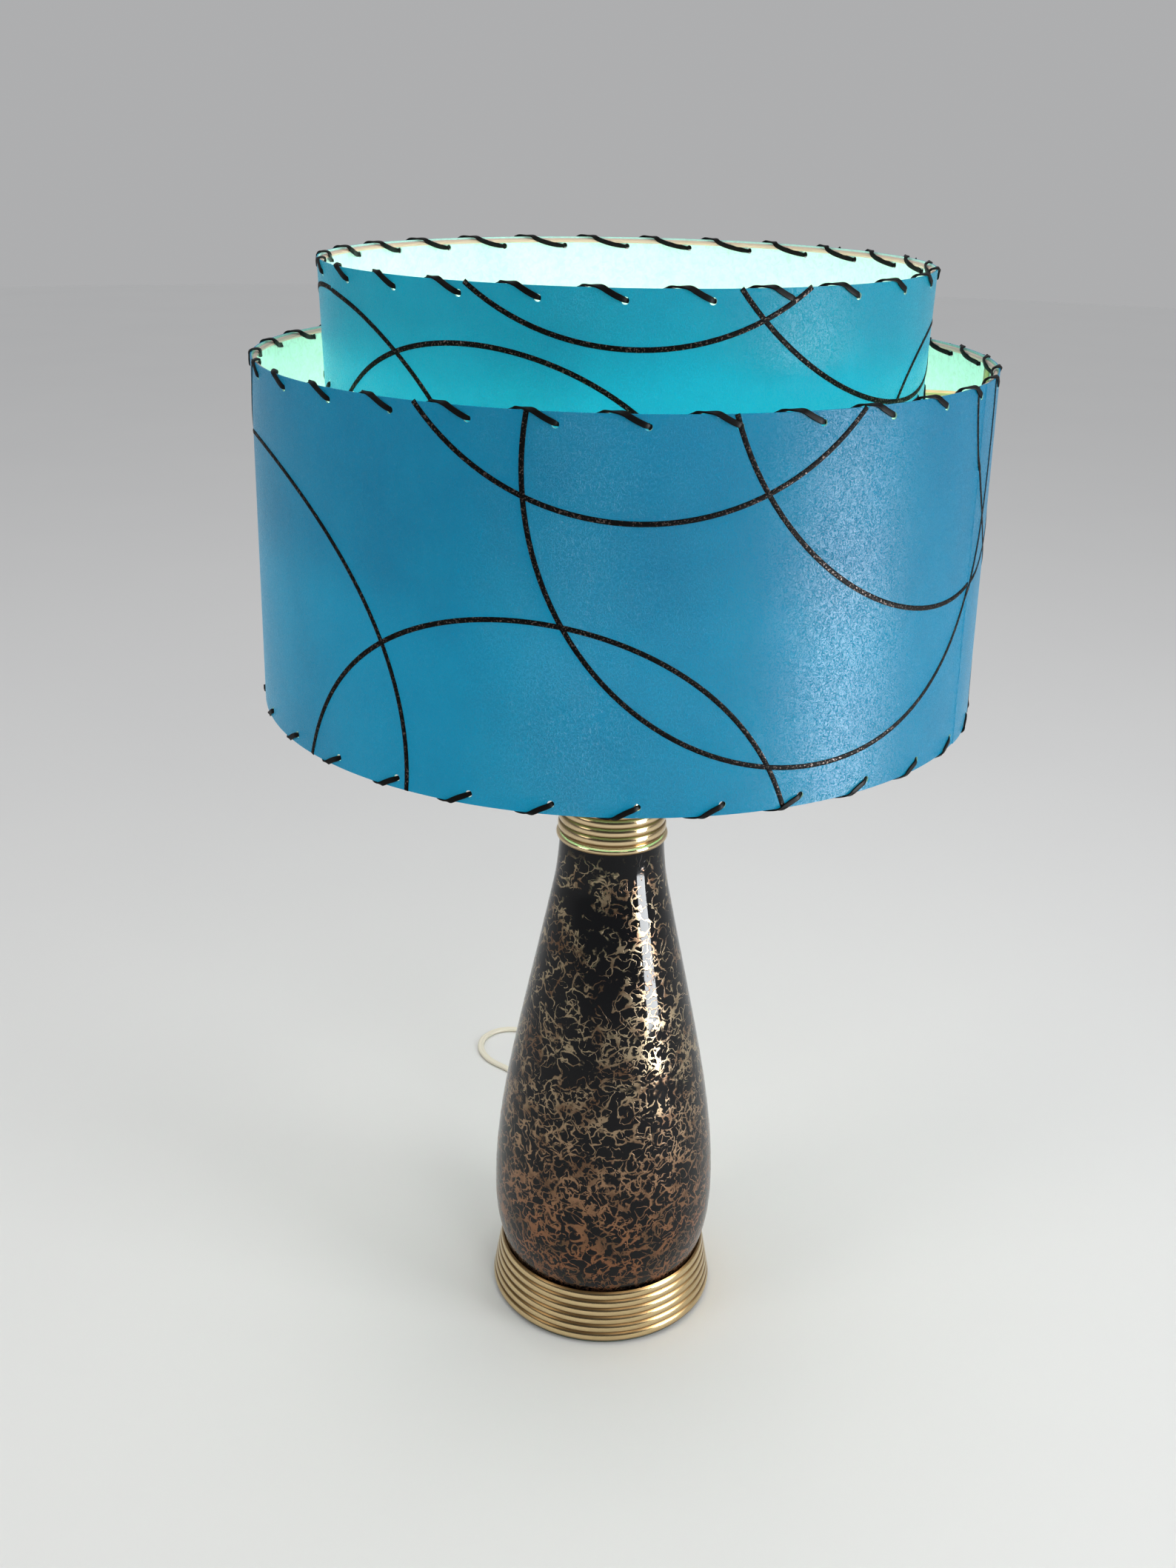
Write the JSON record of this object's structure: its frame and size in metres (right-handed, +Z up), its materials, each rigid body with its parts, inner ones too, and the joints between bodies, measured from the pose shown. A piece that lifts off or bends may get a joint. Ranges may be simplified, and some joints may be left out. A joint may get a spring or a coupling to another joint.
{
  "type": "table lamp",
  "caption": "Table lamp with a two-tier laced drum shade on a harp, a tapered glazed ceramic body, ribbed brass foot and neck, and a coiled cord with plug.",
  "frame": {"origin": "on the table, at the middle of the base's footprint, under the lamp's axis", "axes": "+Z up along the lamp's axis; -Y is the front; the cord leaves at the back, +Y; +X is to the right seen from the front"},
  "size_m": [0.4089, 0.5187, 0.6716],
  "materials": {
    "felt": "felted wool",
    "polished_brass": "polished, lacquered",
    "satin_brass": "satin plated",
    "cast_iron": "rough cast",
    "zinc_steel": "zinc plated",
    "black_glaze": "high gloss black glaze with a gold lace drizzle",
    "insulator_card": "plain card",
    "phenolic": "moulded phenolic",
    "aluminium": "rolled",
    "bulb_insulator": "black vitrite with a solder contact",
    "bulb_glass": "inside frosted, lit",
    "clear_glass": "clear",
    "ring_wire": "enamelled wire",
    "upper_fiberglass": "translucent fiberglass sheet, fibrous, with black printed arcs",
    "lower_fiberglass": "translucent fiberglass sheet, fibrous, with black printed arcs",
    "black_lace": "flat vinyl lace",
    "ivory_cord": "flexible vinyl twin cord",
    "ivory_plug": "moulded",
    "nickel_blade": "nickel plated"
  },
  "bodies": {
    "root": {"felt_pad": "felt", "base_cup": "polished_brass", "base_weight": "cast_iron", "bottom_washer": "zinc_steel", "bottom_nut": "zinc_steel", "threaded_pipe": "zinc_steel", "ceramic_body": "black_glaze", "neck_washer": "zinc_steel", "neck_cap": "polished_brass", "neck_tube": "polished_brass", "neck_nut": "satin_brass", "harp_saddle": "satin_brass", "socket_cap": "satin_brass", "set_screw": "zinc_steel", "socket_insulator": "insulator_card", "socket_shell": "satin_brass", "socket_interior": "phenolic", "screw_shell": "aluminium", "centre_contact": "satin_brass", "terminal_screws": "satin_brass", "inner_lead": "ivory_cord", "cord_bushing": "ivory_plug", "cord_lead": "ivory_cord", "cord_coil": "ivory_cord", "cord_tail": "ivory_cord", "plug_body": "ivory_plug", "plug_blades": "nickel_blade"},
    "switch": {"switch_shaft": "satin_brass", "switch_knob": "phenolic"},
    "bulb_foot": {"bulb_foot": "bulb_insulator"},
    "bulb": {"bulb_base": "aluminium", "bulb_glass": "bulb_glass", "bulb_stem": "clear_glass"},
    "harp": {"harp_wire": "satin_brass", "harp_stud": "satin_brass"},
    "ferrule_left": {"harp_ferrule_left": "satin_brass"},
    "ferrule_right": {"harp_ferrule_right": "satin_brass"},
    "shade": {"spider": "satin_brass", "ring_upper_top": "ring_wire", "ring_upper_bottom": "ring_wire", "ring_lower_top": "ring_wire", "ring_lower_bottom": "ring_wire", "upper_tier": "upper_fiberglass", "lower_tier": "lower_fiberglass", "lace_upper_top": "black_lace", "lace_upper_bottom": "black_lace", "lace_lower_top": "black_lace", "lace_lower_bottom": "black_lace"},
    "finial_base": {"finial_base": "polished_brass"},
    "finial": {"finial_knob": "polished_brass"}
  },
  "joints": [
    {"name": "switch_turn", "type": "hinge", "parent": "root", "child": "switch", "pos_m": [0, -0.02, 0.441], "axis": [0, -1, 0], "continuous": true},
    {"name": "bulb_rise", "type": "slide", "parent": "root", "child": "bulb_foot", "axis": [0, 0, 1], "range_m": [0, 0.0217]},
    {"name": "bulb_turn", "type": "hinge", "parent": "bulb_foot", "child": "bulb", "pos_m": [0, 0, 0.45], "axis": [0, 0, 1], "range_deg": [0, 2160]},
    {"name": "harp_lift", "type": "slide", "parent": "root", "child": "harp", "axis": [0, 0, 1], "range_m": [0, 0.02]},
    {"name": "ferrule_left_slide", "type": "slide", "parent": "harp", "child": "ferrule_left", "axis": [0, 0, 1], "range_m": [0, 0.012]},
    {"name": "ferrule_right_slide", "type": "slide", "parent": "harp", "child": "ferrule_right", "axis": [0, 0, 1], "range_m": [0, 0.012]},
    {"name": "shade_turn", "type": "hinge", "parent": "harp", "child": "shade", "pos_m": [0, 0, 0.6083], "axis": [0, 0, 1], "continuous": true},
    {"name": "finial_rise", "type": "slide", "parent": "harp", "child": "finial_base", "axis": [0, 0, 1], "range_m": [0, 0.0075]},
    {"name": "finial_turn", "type": "hinge", "parent": "finial_base", "child": "finial", "pos_m": [0, 0, 0.612], "axis": [0, 0, 1], "range_deg": [0, 2880]}
  ],
  "couplings": [
    {"joint": "bulb_turn", "follows": "bulb_rise", "rad_per_m": 1731.6},
    {"joint": "finial_turn", "follows": "finial_rise", "rad_per_m": 6679}
  ]
}
